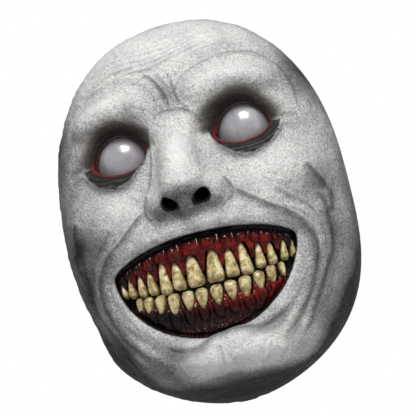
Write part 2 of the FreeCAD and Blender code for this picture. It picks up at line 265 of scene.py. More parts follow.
MOUTH_LOOP = arch_outline(MOUTH_HALF_WIDTH, MOUTH_CORNER_Z, MOUTH_RISE, MOUTH_DROP)
EYE_LOOP = arch_outline(EYE_HALF_WIDTH, EYE_CORNER_Z, EYE_RISE, EYE_DROP) + np.array([EYE_AT[0], 0.0])


# ---------------------------------------------------------------- mesh tools

def add_object(name, points, faces, material, body, replaces):
    """A mesh object from points in millimetres, riding on a body and standing for CAD nodes."""
    mesh = bpy.data.meshes.new(name)
    if isinstance(faces, np.ndarray):
        faces = faces.tolist()
    mesh.from_pydata((np.asarray(points) * MM).tolist(), [], faces)
    mesh.update()
    mesh.polygons.foreach_set("use_smooth", [True] * len(mesh.polygons))
    mesh.materials.append(material)
    piece = bpy.data.objects.new(name, mesh)
    bpy.context.scene.collection.objects.link(piece)
    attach(piece, body)
    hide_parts(*replaces)
    return piece


def weld(piece, gap=0.00002):
    """Join points that lie on each other and make every face look outwards."""
    work = bmesh.new()
    work.from_mesh(piece.data)
    bmesh.ops.remove_doubles(work, verts=work.verts, dist=gap)
    bmesh.ops.recalc_face_normals(work, faces=work.faces)
    work.to_mesh(piece.data)
    work.free()
    piece.data.update()


def ring_quads(rows, turns, start=0):
    """Quads between closed rows of points, turns to a row; the first row begins at start."""
    faces = []
    for i in range(rows):
        for k in range(turns):
            a, b = start + i * turns + k, start + i * turns + (k + 1) % turns
            faces.append((a, b, b + turns, a + turns))
    return faces


def point_normals(points, quads):
    """Area-weighted unit normals of a quad mesh."""
    a, b, c, d = (points[quads[:, i]] for i in range(4))
    n = np.cross(c - a, d - b)
    total = np.zeros_like(points)
    for i in range(4):
        np.add.at(total, quads[:, i], n)
    return total / np.maximum(np.linalg.norm(total, axis=1, keepdims=True), 1e-9)


def paint(piece, name, values):
    """Store one number from 0 to 1 per point, for a material to read."""
    layer = piece.data.attributes.new(name, "FLOAT", "POINT")
    layer.data.foreach_set("value", np.clip(values, 0, 1).astype(np.float32))


def ripple(points, scale, seed):
    """Smooth noise from -1 to 1 at points: a few sine waves in seeded directions."""
    rng = np.random.default_rng(seed)
    total = np.zeros(len(points))
    for _ in range(9):
        way = rng.normal(size=3)
        way *= rng.uniform(0.6, 1.6) / (np.linalg.norm(way) * scale) * 2 * math.pi
        total += np.sin(points @ way + rng.uniform(0, 6.28))
    return total / 4.5


# ---------------------------------------------------------------- materials

def triple(value):
    """A colour as it is, or a number as a grey."""
    return value if isinstance(value, tuple) else (value,) * 3


class Nodes:
    """A node material. Each method that adds a node returns the socket that comes out of it."""

    INPUTS = {"roughness": "Roughness", "specular": "Specular IOR Level", "coat": "Coat Weight",
              "coat_roughness": "Coat Roughness", "metallic": "Metallic", "sheen": "Sheen Weight",
              "subsurface": "Subsurface Weight", "subsurface_scale": "Subsurface Scale"}

    def __init__(self, name):
        self.material = bpy.data.materials.new(name)
        self.material.use_nodes = True
        self.tree = self.material.node_tree
        self.shader = self.tree.nodes["Principled BSDF"]

    def add(self, kind):
        return self.tree.nodes.new("ShaderNode" + kind)

    def feed(self, target, value):
        """Link a socket to an input, or set the input; a number stands for a grey where a colour goes."""
        if isinstance(value, bpy.types.NodeSocket):
            self.tree.links.new(value, target)
        elif target.type == "RGBA":
            target.default_value = (*triple(value), 1.0)
        else:
            target.default_value = value

    def texture(self, kind, output, **values):
        """A texture over the piece's own coordinates, in metres."""
        node = self.add(kind)
        for name, value in values.items():
            node.inputs[name].default_value = value
        self.feed(node.inputs["Vector"], self.add("TexCoord").outputs["Object"])
        return node.outputs[output]

    def noise(self, scale, detail=4.0, roughness=0.55):
        return self.texture("TexNoise", "Fac", Scale=scale, Detail=detail, Roughness=roughness)

    def cells(self, scale):
        return self.texture("TexVoronoi", "Distance", Scale=scale)

    def attribute(self, name):
        node = self.add("Attribute")
        node.attribute_name = name
        return node.outputs["Fac"]

    def band(self, source, *stops):
        """A colour ramp from a number; a stop is a place and a colour or a grey."""
        node = self.add("ValToRGB")
        while len(node.color_ramp.elements) < len(stops):
            node.color_ramp.elements.new(0.5)
        for element, (place, colour) in zip(node.color_ramp.elements, stops):
            element.position = place
            element.color = (*triple(colour), 1.0)
        self.feed(node.inputs["Fac"], source)
        return node.outputs["Color"]

    def mix(self, low, high, factor):
        node = self.add("MixRGB")
        for name, value in (("Color1", low), ("Color2", high), ("Fac", factor)):
            self.feed(node.inputs[name], value)
        return node.outputs["Color"]

    def maths(self, operation, a, b, clamp=False):
        node = self.add("Math")
        node.operation = operation
        node.use_clamp = clamp
        self.feed(node.inputs[0], a)
        self.feed(node.inputs[1], b)
        return node.outputs["Value"]

    def times(self, a, b, clamp=False):
        return self.maths("MULTIPLY", a, b, clamp)

    def finish(self, colour, bumps, **values):
        """Set the colour, stack the bumps, given as (socket, height in metres), and set the plain values."""
        self.feed(self.shader.inputs["Base Color"], colour)
        for name, value in values.items():
            self.feed(self.shader.inputs[self.INPUTS[name]], value)
        target = self.shader.inputs["Normal"]
        for source, height in reversed(bumps):
            node = self.add("Bump")
            node.inputs["Strength"].default_value = 1.0
            node.inputs["Distance"].default_value = height
            self.feed(node.inputs["Height"], source)
            self.tree.links.new(node.outputs["Normal"], target)
            target = node.inputs["Normal"]
        return self.material


PALE_COOL, PALE, PALE_WARM = (0.46, 0.465, 0.46), (0.68, 0.68, 0.665), (0.74, 0.73, 0.69)
HIGHLIGHT_WHITE = (0.90, 0.90, 0.88)
GREY_LIGHT, GREY_DARK = (0.42, 0.425, 0.43), (0.15, 0.152, 0.156)
AIRBRUSH_AND_SHADE_BLACK_SOFT, AIRBRUSH_AND_SHADE_BLACK_DEEP = (0.045, 0.044, 0.046), (0.006, 0.006, 0.007)
PAINT_AND_SHADE_BLACK = (0.012, 0.009, 0.008)
SOCKET_SHADE_BROWN = (0.060, 0.043, 0.030)
LID_RED = (0.26, 0.012, 0.012)


def skin_material():
    """Matt pale latex: mottled, pored and speckled, airbrushed with charcoal paint and painted shade,
    painted paler where the light falls, with black paint and painted shade in the creases.
    """
    m = Nodes("latex_skin")
    base = m.band(m.noise(70, 6, 0.6), (0.30, PALE_COOL), (0.52, PALE), (0.75, PALE_WARM))
    grain = m.noise(880, 3, 0.75)
    grained = m.mix(base, 0.20, m.band(grain, (0.44, 0.0), (0.64, 0.85)))
    pores = m.cells(520)
    patches = m.band(m.noise(45, 3), (0.42, 0.15), (0.62, 0.9))
    specks = m.times(m.band(pores, (0.0, 1.0), (0.24, 0.0)), patches)
    speckled = m.mix(grained, 0.10, m.times(specks, 0.90))
    # painted highlight: paler on the forms that face the light
    highlighted = m.mix(speckled, HIGHLIGHT_WHITE, m.times(m.attribute("pale"), 0.75))
    # airbrushed charcoal paint and painted shade, with a cloudy edge
    shade = m.attribute("shade")
    cloud = m.times(m.maths("SUBTRACT", m.noise(160, 5, 0.7), 0.5), 0.35)
    airbrush_and_shade = m.times(m.maths("ADD", shade, cloud), m.band(shade, (0.02, 0.0), (0.2, 1.0)), clamp=True)
    grey = m.band(grain, (0.40, GREY_LIGHT), (0.62, GREY_DARK))
    black_airbrush_and_shade = m.band(grain, (0.35, AIRBRUSH_AND_SHADE_BLACK_SOFT), (0.60, AIRBRUSH_AND_SHADE_BLACK_DEEP))
    greyed = m.mix(highlighted, grey, m.band(airbrush_and_shade, (0.0, 0.0), (0.5, 0.9)))
    airbrushed_and_shaded = m.mix(greyed, black_airbrush_and_shade, m.band(airbrush_and_shade, (0.35, 0.0), (1.0, 1.0)))
    # painted shade in the sockets under the brows; black paint and painted shade round the eyes and in the
    # creases, and painted shade in the nostrils, under the lips and under the chin
    browned = m.mix(airbrushed_and_shaded, SOCKET_SHADE_BROWN, m.band(m.attribute("socket_shade"), (0.05, 0.0), (0.6, 0.85)))
    blackened = m.mix(browned, PAINT_AND_SHADE_BLACK, m.band(m.attribute("black_paint_and_shade"), (0.1, 0.0), (0.85, 1.0)))
    reddened = m.mix(blackened, LID_RED, m.attribute("blood"))
    pits = m.band(pores, (0.0, 0.0), (0.35, 1.0))
    rough = m.band(m.noise(300), (0.3, 0.52), (0.7, 0.70))
    bumps = [(m.noise(150, 5, 0.6), 0.0014), (m.noise(330, 4, 0.7), 0.0018)]
    bumps += [(grain, 0.00060), (pits, 0.00030)]
    return m.finish(reddened, bumps, specular=0.32, roughness=rough)


def gum_material():
    """Wet dark-red latex: mottled from blood red to near black, clotted and glossy."""
    m = Nodes("gum_latex")
    red = m.band(m.noise(230, 6, 0.65), (0.32, (0.008, 0.001, 0.001)), (0.47, (0.070, 0.003, 0.002)),
                 (0.60, (0.17, 0.006, 0.003)), (0.76, (0.36, 0.035, 0.012)))
    # painted shade: near black under the lip edges, round the tooth bases, towards the corners and the left,
    # and low on the lower gum
    deep = m.mix(red, (0.004, 0.001, 0.001), m.attribute("depth"))
    # painted light and shade on the inner-lip wrinkles: dark in the troughs, lighter on the crests
    ridges = m.band(m.attribute("ridge"), (0.50, (0.012, 0.002, 0.003)), (0.98, (0.105, 0.045, 0.052)))
    lip = m.mix(deep, ridges, m.attribute("lip"))
    bumps = [(m.noise(190, 3, 0.55), 0.0062), (m.noise(700, 2), 0.0004)]
    return m.finish(lip, bumps, roughness=0.42, specular=0.06, coat=0.34, coat_roughness=0.09)


def tooth_material():
    """Aged ivory: brown at the root, yellow body, darker towards the flanks and the biting edge, and darker
    on the lower teeth.
    """
    m = Nodes("tooth_resin")
    body = m.band(m.noise(260, 5, 0.65), (0.32, (0.13, 0.080, 0.022)), (0.44, (0.36, 0.27, 0.105)),
                  (0.56, (0.68, 0.58, 0.30)), (0.74, (0.86, 0.82, 0.60)))
    rooted = m.mix(body, (0.12, 0.035, 0.008), m.attribute("root"))
    cracks = m.band(m.noise(1100, 4, 0.7), (0.36, 1.0), (0.46, 0.0))
    lined = m.mix(rooted, (0.16, 0.09, 0.03), m.times(cracks, 0.5))
    edged = m.mix(lined, (0.10, 0.055, 0.016), m.attribute("flank"))
    bumps = [(m.noise(420, 4), 0.0005), (m.noise(1500, 3), 0.0001)]
    return m.finish(edged, bumps, roughness=0.30, specular=0.5, coat=0.45, coat_roughness=0.18,
                    subsurface=0.08, subsurface_scale=0.002)


def eye_material():
    """Milky grey-violet plastic dome, faintly clouded, with a clear gloss."""
    m = Nodes("eye_plastic")
    cloud = m.band(m.noise(110, 4, 0.6), (0.3, (0.255, 0.247, 0.262)), (0.7, (0.365, 0.355, 0.375)))
    # painted shade: darker towards the rim of the dome
    edged = m.mix(cloud, (0.12, 0.11, 0.125), m.attribute("edge"))
    bumps = [(m.noise(300, 3), 0.00012)]
    return m.finish(edged, bumps, roughness=0.30, specular=0.6, coat=0.8, coat_roughness=0.13)


def seal_material():
    """Wet red latex margin of the lids."""
    m = Nodes("lid_latex")
    red = m.band(m.noise(520, 5, 0.6), (0.3, (0.07, 0.004, 0.004)), (0.6, (0.28, 0.016, 0.014)),
                 (0.8, (0.45, 0.06, 0.05)))
    # painted shade: darker on the top of the margin, under the brow
    shaded_on_top = m.mix(red, (0.020, 0.003, 0.003), m.attribute("top_shade"))
    return m.finish(shaded_on_top, [(m.noise(700, 3), 0.0003)], roughness=0.25, coat=0.7, coat_roughness=0.12)


def webbing_material():
    """Black woven elastic: ribs along the strap and fine cross picks."""
    m = Nodes("elastic_webbing")
    fuzz = m.noise(1800, 3, 0.7)
    thread = m.band(m.attribute("weave"), (0.0, (0.006, 0.006, 0.007)), (1.0, (0.045, 0.045, 0.048)))
    woven = m.mix(thread, (0.10, 0.10, 0.105), m.band(fuzz, (0.62, 0.0), (0.8, 0.5)))
    return m.finish(woven, [(fuzz, 0.0002)], roughness=0.85, specular=0.2, sheen=0.25)


def gauze_material():
    """Black breathing gauze: fine mesh."""
    m = Nodes("screen_fabric")
    cells = m.cells(1100)
    thread = m.band(cells, (0.0, 0.002), (0.6, (0.030, 0.028, 0.028)))
    return m.finish(thread, [(cells, 0.0003)], roughness=0.9, specular=0.15, sheen=0.1)


def tab_material():
    """Grained black synthetic leather."""
    m = Nodes("tab_leather")
    grained = m.band(m.noise(140), (0.3, (0.020, 0.018, 0.017)), (0.7, (0.055, 0.050, 0.046)))
    return m.finish(grained, [(m.cells(800), 0.0002), (m.noise(90), 0.0004)], roughness=0.6, specular=0.35)


def rivet_material():
    """Satin nickel with fine turning and handling marks."""
    m = Nodes("rivet_steel")
    marks = m.noise(900, 4, 0.7)
    nickel = m.band(marks, (0.3, (0.42, 0.41, 0.40)), (0.7, (0.66, 0.65, 0.63)))
    rough = m.band(marks, (0.3, 0.24), (0.7, 0.42))
    return m.finish(nickel, [(marks, 0.00005)], metallic=1.0, roughness=rough)


def floor_material():
    """Pale matt paper."""
    m = Nodes("floor_pale")
    paper = m.band(m.noise(3.0, 2), (0.3, 0.80), (0.7, 0.84))
    return m.finish(paper, [], roughness=0.9)


# ---------------------------------------------------------------- face skin

# Creases of the right half, mirrored, as points (x, z), and the dark crescent under the eye
SMILE_FOLD = [(27, -49), (35, -57), (45, -65), (54, -72), (62, -79), (67, -88), (67, -99), (64, -112),
              (57, -126), (46, -140), (33, -151)]
OUTER_FOLD = [(78, -58), (81, -70), (80, -84), (77, -97), (70, -111), (63, -125), (55, -139), (47, -151)]
BAG_EDGE = [(19, -4), (21, -12), (27, -21), (36, -28), (47, -30), (58, -26), (66, -17), (69, -9)]
BAG_LOOP = np.array(BAG_EDGE + [(60, -7), (50, -12), (36, -12), (24, -7)], float)


def head_distance(x, y, z):
    """The plain head: level sections are ovals whose width and depth follow the face outline."""
    up = z >= WIDEST_Z
    u = np.where(up, (z - WIDEST_Z) / CROWN_RISE, (WIDEST_Z - z) / CHIN_DROP)
    u = np.clip(u, 0, 0.9995)
    width = HALF_WIDTH * np.where(up, (1 - u ** 2.4) ** (1 / 2.1), (1 - u ** 3.2) ** (1 / 1.7))
    depth = SHELL_DEPTH * np.where(up, (1 - u ** 3.0) ** 0.5, (1 - u ** 9.0) ** 0.5)
    q = ((np.abs(x) / width) ** 2.2 + (np.abs(y) / depth) ** 2 + 1e-9) ** (1 / 2.1)
    d = np.sqrt(x ** 2 + y ** 2 + 1e-6) * (1 - 1 / q)
    beyond = np.maximum(z - (WIDEST_Z + CROWN_RISE), (WIDEST_Z - CHIN_DROP) - z)
    return np.maximum(d, beyond)


def broad_relief(x, z):
    """Soft hills and hollows that stand out from the plain head, in millimetres."""
    ax = np.abs(x)
    mouth = (x / 58) ** 2 + ((z + 106) / 44) ** 2
    total = 9.0 * np.exp(-mouth)
    total += -6.0 * bell(ax - 78, 10) * bell(z + 92, 26)
    total += 2.0 * bell(ax - 44, 30) * bell(z - 52, 20)
    return total


def sculpt_head(field):
    """Head, brows, sockets, lids, nose, cheeks, lips and chin, before the skin is hollowed and pierced."""
    x, y, z = field.grid()
    d = head_distance(x, y, z).astype(np.float32)
    steepness = np.sqrt(sum(g ** 2 for g in np.gradient(d, field.step)))
    d = d / np.clip(steepness, 0.5, 3.0)
    # the casting is trimmed straight across the left jaw
    d = smooth_max(d, -0.974 * x - 0.227 * z - 110.3, 3.0)
    # the chin falls back to the rim
    d = smooth_max(d, -0.41 * y - 0.912 * z - 167.2, 5.0)
    forward = np.clip(-y / 20, 0, 1)
    field.values = (d - broad_relief(x, z) * forward).astype(np.float32)

    # brows hang over the sockets, with a knot at their inner ends
    field.merge(ellipsoid((44, -39, 25), (27, 13.5, 10), lean=12), (4, -60, 4), (82, -10, 46), 8)
    field.merge(ellipsoid((19, -46, 22), (13, 10.5, 10), lean=-20), (0, -62, 4), (40, -24, 42), 5)
    field.merge(ellipsoid((43, -57, -4), (28, 22, 20)), (8, -85, -34), (80, -26, 26), 6, carve=True)
    # lids, the bag below the eye
    field.merge(ellipsoid((43, -27, -19), (23, 13, 11)), (10, -48, -38), (76, -10, 0), 3)
    field.merge(ellipsoid(EYE_AT, (LID_R, LID_R, LID_R)), (8, -48, -36), (76, -20, 28), 2)
    # cheeks
    field.merge(ellipsoid((58, -33, -46), (30, 23, 21), lean=-20), (16, -66, -84), (102, 0, -10), 8)
    # nose: bridge, tip, wings, floor
    field.merge(capsule((0, -38, 6), (0, -62, -36), 15.5, 15), (-30, -95, -62), (30, -20, 34), 5, both=False)
    field.merge(capsule((5, -42, -4), (13.5, -54.5, -42), 10, 11), (-10, -80, -62), (36, -24, 16), 5)
    field.merge(ellipsoid((0, -67, -43), (14.5, 14, 12.5)), (-26, -95, -66), (26, -40, -16), 4, both=False)
    field.merge(ellipsoid((17.2, -57.5, -49.5), (9.4, 12.0, 9.4)), (0, -86, -74), (40, -32, -26), 7)
    field.merge(ellipsoid((0, -66, -55), (6.5, 11, 6.5)), (-16, -84, -72), (16, -46, -40), 3.5, both=False)
    # muzzle over the upper teeth, then the chin in two lobes
    field.merge(ellipsoid((0, -46, -66), (52, 18, 13)), (-72, -76, -92), (72, -20, -44), 8, both=False)
    field.merge(ellipsoid((2, -44, -151), (34, 17, 12)), (-60, -74, -178), (60, -14, -130), 8, both=False)
    field.merge(ellipsoid((12, -53, -149.5), (15, 12.5, 9)), (-8, -76, -170), (40, -32, -132), 5)


def sculpt_skin():
    """The latex casting as points and quads, and the field of its outer sheet."""
    low, high = (-105, -90, -183), (105, 4, 94)
    outer = Field(low, high, SKIN_STEP)
    sculpt_head(outer)
    x, y, z = outer.grid()
    mouth = loop_distance(x[:, 0, :], z[:, 0, :], MOUTH_LOOP)[:, None, :].astype(np.float32)
    eye = loop_distance(np.abs(x[:, 0, :]), z[:, 0, :], EYE_LOOP)[:, None, :].astype(np.float32)
    # rolled lips: a rim swells round the mouth and turns in at its edge
    lips = 3.2 * bell(mouth - 5.5, 5.5) * (y < -5)
    outer.values -= lips.astype(np.float32)
    hollow = outer.values + SKIN
    # the casting is thick between the nostrils and behind them
    thick = ellipsoid((0, -58, -50), (27, 16, 17))(x, y, z).astype(np.float32)
    inner = np.maximum(hollow, -thick)
    shell = smooth_max(outer.values, -inner, 0.6)
    shell = np.where(y > -4, np.maximum(outer.values, -inner), shell)
    shell = smooth_max(shell, np.where(y < CUT_FRONT_Y, -mouth, NO_CUT), 3.0)
    shell = smooth_max(shell, np.where(y < CUT_FRONT_Y, -eye, NO_CUT), 1.6)
    field = Field(low, high, SKIN_STEP)
    field.values = shell.astype(np.float32)
    field.merge(capsule(*NOSTRIL), (0, -94, -74), (24, -46, -34), 1.2, carve=True)
    field.values = np.maximum(field.values, y).astype(np.float32)
    points, quads = field.mesh()
    return points, quads, outer


def crease(x, z, points, depth, width, bulge=0.0, fade=0.12):
    """A groove along a curve that dies out at its ends, with a swelling on its left side.

    Gives its relief, the dark paint and painted shade in it, and the soft painted shade round it.
    """
    gap, side, along = curve_distance(x, z, points)
    strength = ramp(along, 0, 0.6 * fade) * (1 - ramp(along, 1 - fade, 1))
    groove = bell(gap, width)
    relief = -depth * groove
    if bulge:
        relief = relief + bulge * bell(gap * side - 2.6 * width, 2.6 * width)
    dark = min(1.0, depth / 1.8)
    soft = ramp(along, 0, 0.4) * (1 - ramp(along, 0.6, 1))
    return relief * strength, dark * strength * bell(gap, 0.8 * width), dark * soft * bell(gap, 3.2 * width)


def wrinkles():
    """All creases of the face: 0 if it is on both halves or -1 if it is drawn as it lies, then its points,
    depth, width and bulge."""
    folds = [
        (0, SMILE_FOLD, 3.6, 2.4, 2.8),
        (0, OUTER_FOLD, 2.4, 2.0, 1.4),
        (0, [(72, -76), (74, -90), (71, -106), (64, -120), (55, -134)], 0.9, 1.3, 0.4),
        (0, [(54, -54), (62, -61), (70, -68), (76, -78)], 1.1, 1.8, 0.6),
        (0, [(76, -43), (82, -53), (85, -63), (84, -76)], 2.0, 2.6, 0.6),
        (0, [(90, -52), (86, -61), (80, -68)], 0.9, 2.0, 0.0),
        (0, [(66, -8), (72, -6), (79, -7)], 1.0, 1.2, 0.4),
        (0, [(67, -13), (72, -13), (78, -15)], 0.8, 1.1, 0.3),
        (0, [(66, -3), (71, 1), (76, 2)], 0.5, 1.0, 0.2),
        (0, BAG_EDGE, 2.0, 1.2, 0.0),
        (0, [(24, -19), (33, -24.5), (45, -26.5), (56, -23.5), (64, -15)], 0.9, 0.9, 0.4),
        (0, [(27, -18), (36, -22), (46, -23.5), (56, -20), (62, -14)], 0.8, 0.8, 0.3),
        (-1, [(6, 17), (7, 26), (11, 33), (19, 38), (30, 41), (43, 44), (57, 43), (67, 37), (75, 27),
              (79, 14), (80, 0), (82, -12)], 1.1, 1.0, 0.7),
        (-1, [(-14, 36), (-26, 42), (-42, 43), (-56, 42), (-68, 36), (-77, 25)], 0.6, 1.0, 0.4),
        (0, [(10, 44), (24, 50), (40, 52), (54, 49)], 0.6, 1.3, 0.3),
        (0, [(6, 60), (22, 64), (40, 63)], 0.45, 1.3, 0.2),
        (-1, [(-12, 8), (-8, 12), (0, 12.5), (9, 11), (16, 5), (20, -4)], 1.5, 1.1, 0.8),
        (-1, [(-16, 8), (-16.5, -4), (-18, -18), (-22, -34), (-27, -44)], 1.3, 1.0, 0.3),
        (-1, [(19, 0), (20, -14), (23, -30)], 0.5, 2.0, 0.0),
        (-1, [(-14, 44), (-8, 38), (-3, 29), (-0.5, 20), (1, 12)], 1.8, 1.0, 0.9),
        (-1, [(-5, 41), (0, 33), (2.5, 24), (4.5, 16)], 1.2, 0.9, 0.6),
        (-1, [(3, 40), (5, 31), (6.5, 22), (9, 15), (14, 11)], 1.4, 1.0, 0.7),
        (-1, [(-20, 41), (-14, 34), (-9, 26), (-8, 18)], 0.9, 0.9, 0.5),
        (-1, [(-48, 40), (-32, 45), (-16, 41), (-5, 42)], 0.8, 1.2, 0.4),
        (0, [(24, -41), (27.5, -47), (27.5, -53), (24, -59)], 1.4, 1.6, 0.0),
        (-1, [(-36, -136), (-24, -143), (-12, -145), (-2, -141), (10, -139.5), (24, -140), (38, -135),
              (50, -126)], 2.4, 2.4, 0.0),
        (-1, [(0, -145), (0.6, -151), (0, -158)], 1.0, 2.0, 0.0),
        (0, [(30, -149), (27, -157), (20, -163)], 0.7, 1.5, 0.3),
        (0, [(40, -146), (36, -156), (28, -165)], 0.6, 1.4, 0.3),
        (-1, [(3.5, -61), (3.2, -66), (4.5, -71)], 0.6, 1.4, 0.0),
        (-1, [(-3.5, -61), (-3.2, -66), (-4.5, -71)], 0.6, 1.4, 0.0),
    ]
    # shallow furrows over the brow, one above the other
    for k in range(FURROWS):
        lift = FURROW_STEP * k
        curve = [(-56 + 3 * k, 41 + lift), (-34, 47 + lift), (-10, 47 + 0.9 * lift), (14, 52 + 0.7 * lift),
                 (34 - 2 * k, 57 + 0.6 * lift)]
        folds.append((-1, curve, 1.05 - 0.12 * k, 0.9, 0.5))
    return folds


def detail_skin(points, quads, solid):
    """Press creases, lip lines and pits into the outer sheet and work out its painting."""
    normals = point_normals(points, quads)
    x, y, z = points.T
    ax = np.abs(x)
    outside = 1 - ramp(np.abs(solid.sample(points)), 0.5, 1.5)
    front = outside * ramp(-y, 1.0, 9.0)
    relief = np.zeros(len(points))
    crease_paint_and_shade = np.zeros(len(points))
    paint_and_shade_round_creases = np.zeros(len(points))
    for sides, curve, depth, width, bulge in wrinkles():
        across, swelling = (x, bulge) if sides else (ax, -bulge)
        height, dark, soft = crease(across, z, curve, depth, width, swelling)
        relief += height
        crease_paint_and_shade = np.maximum(crease_paint_and_shade, dark)
        paint_and_shade_round_creases = np.maximum(paint_and_shade_round_creases, soft)
    mouth = loop_distance(x, z, MOUTH_LOOP)
    eye = loop_distance(ax, z, EYE_LOOP)
    # parentheses round the mouth corners, with dark paint and painted shade in them
    corner = ramp(ax, 38, 56) * ramp(mouth, 0, 2)
    for away, depth in ((9.0, 0.9), (13.5, 0.7)):
        groove = bell(mouth - away, 1.2) * corner
        relief -= depth * groove
        crease_paint_and_shade = np.maximum(crease_paint_and_shade, 0.45 * groove)
    # fine lines across the bag and lids
    fine = np.sin(eye * 2.1 + 0.8 * ripple(points, 9, 3)) * bell(eye - 6, 7) * (z < -2)
    relief += 0.30 * fine
    # uneven hand-sculpted surface
    relief += 0.35 * ripple(points, 22, 1) + 0.22 * ripple(points, 8, 2) + 0.10 * ripple(points, 4, 4)
    moved = points + normals * (relief * front)[:, None]

    # shade: airbrushed charcoal paint darkening towards the rim and the jaw, and painted shade under the
    # nose and chin, round the creases, in the cheek hollows, at the glabella and temples and down the left
    # side
    edge = ramp(y, -32, -3)
    lower = ramp(-z, -10, 80)
    beneath = ramp(y, -40, -8) * ramp(-z, 96, 150)
    wing_top = ramp(ax, 13, 22) * ramp(z, -60, -50)
    under_nose = ramp(-z, 38, 56) * ramp(-ax, -31, -20) * ramp(-y, 50, 66) * ramp(z, -70, -58)
    under_nose = under_nose * (1 - 0.6 * wing_top)
    underside = ramp(-z - 0.05 * ax, 155, 172)
    jaw = ramp(ax, 48, 84) * ramp(-z, 60, 125) + 1.2 * ramp(ax, 44, 70) * ramp(-z, 108, 142)
    shade = 0.72 * edge ** 1.2 * (0.60 + 0.40 * lower) + 0.85 * beneath + 1.1 * underside + 0.78 * under_nose
    shade += 0.34 * paint_and_shade_round_creases + 0.12 * ramp(ax, 60, 92) + 0.36 * ramp(-x, 54, 96) + 0.24 * jaw
    shade += 0.30 * bell(ax, 14) * bell(z + 48, 6) * ramp(-y, 58, 68)
    shade += 0.65 * bell(x + 42, 20) * bell(z + 152, 15) + 0.80 * ramp(-x, 44, 72) * ramp(-z, 108, 142)
    shade += 0.20 * bell(x + 66, 22) * bell(z + 46, 34) + 0.12 * bell(x + 78, 20) * bell(z - 20, 30)
    shade += 0.20 * bell(x, 14) * bell(z - 22, 13) + 0.10 * bell(x + 60, 22) * bell(z + 60, 22)
    shade += 0.34 * bell(ax - 88, 13) * bell(z - 24, 26) * ramp(-y, -2, 6)
    shade += 0.30 * bell(x - 80, 15) * bell(z - 34, 24)
    # painted highlight: the chin boss loses its painted shade, and it, the nose ridge, forehead, brows and
    # cheeks are painted paler where the light falls
    chin = np.maximum(bell(x - 20, 20), bell(x + 6, 17)) * bell(z + 151, 9)
    shade -= 1.0 * chin
    pale = 1.3 * chin + 0.8 * bell(ax, 9) * bell(z + 22, 20) * (y < -50)
    pale += 0.6 * bell(x + 8, 60) * bell(z - 62, 18)
    pale += 0.5 * bell(ax - 44, 22) * bell(z - 29, 7) + 0.4 * bell(ax - 52, 20) * bell(z + 42, 12)
    hollow = bell(ax - 82, 8) * bell(z + 78, 22)
    shade += 0.30 * hollow + 0.10 * ripple(points, 30, 5)
    shade *= 1 - 0.3 * np.clip(pale, 0, 1)
    # painted shade in the socket under each brow, brown and, nearer the eye, black; below the eye a thin
    # line of black paint along the lid
    from_eye = np.maximum(eye, 0)
    top = ramp(z, EYE_CORNER_Z - 3, EYE_CORNER_Z + 3)
    near_eye = ramp(-y, 20, 26)
    socket_shade = 0.9 * bell(from_eye, 9.5) * top * near_eye
    black_paint_and_shade = (1.0 * bell(from_eye, 7.0) * top + bell(from_eye, 2.4) * (1 - top)) * near_eye
    # the dark, wrinkled crescent under each eye
    crescent = loop_distance(ax, z, BAG_LOOP)
    streak = 0.5 + 0.5 * np.sin(eye * 2.2 + 1.1 * ripple(points, 14, 7))
    under_eye = ramp(-crescent, -0.4, 1.6) * (eye > 0)
    streak = streak * (1 + 0.6 * ripple(points, 5, 8))
    black_paint_and_shade = np.maximum(black_paint_and_shade, under_eye * (0.74 + 0.22 * streak + 0.2 * bell(eye, 4)))
    # black paint and painted shade in the deep creases; painted shade, black, under the chin and on the
    # lower sides of the jaw towards the rim
    black_paint_and_shade = np.maximum(black_paint_and_shade, 0.60 * crease_paint_and_shade)
    black_paint_and_shade = np.maximum(black_paint_and_shade, 0.80 * ramp(-z - 0.05 * ax, 159, 174))
    black_paint_and_shade = np.maximum(black_paint_and_shade, 0.60 * ramp(ax, 62, 92) * ramp(-z, 92, 140) * ramp(y, -44, -12))
    # painted shade: black inside the nostrils and under the edges of the lips
    black_paint_and_shade = np.maximum(black_paint_and_shade, 1 - ramp(capsule(*NOSTRIL)(ax, y, z), 0.4, 1.3))
    black_paint_and_shade = np.maximum(black_paint_and_shade, ramp(-mouth, -1.9, -0.5) * (y < -25))
    lid_edge = ramp(-eye, -2.6, -0.6) * near_eye
    blood = lid_edge * (0.02 + 0.68 * ramp(-z, 0, 12) + 0.18 * ramp(-ax, -30, -24))
    # painted shade: the inside of the casting behind the nose is black, so that the nostrils look dark
    nose_inside = 1.7 * (1 - outside) * bell(x, 19) * bell(z + 50, 17)
    black_paint_and_shade = np.maximum(black_paint_and_shade, nose_inside)
    layers = {"shade": shade * outside, "socket_shade": socket_shade * outside, "black_paint_and_shade": black_paint_and_shade, "blood": blood}
    layers["pale"] = pale * outside
    return moved, layers


def make_skin():
    points, quads, solid = sculpt_skin()
    points, layers = detail_skin(points, quads, solid)
    latex = skin_material()
    piece = add_object("face_skin_latex", points, quads, latex, MASK_BODY, ["face_skin"])
    for name, values in layers.items():
        paint(piece, name, values)
    return solid


# ---------------------------------------------------------------- eyes

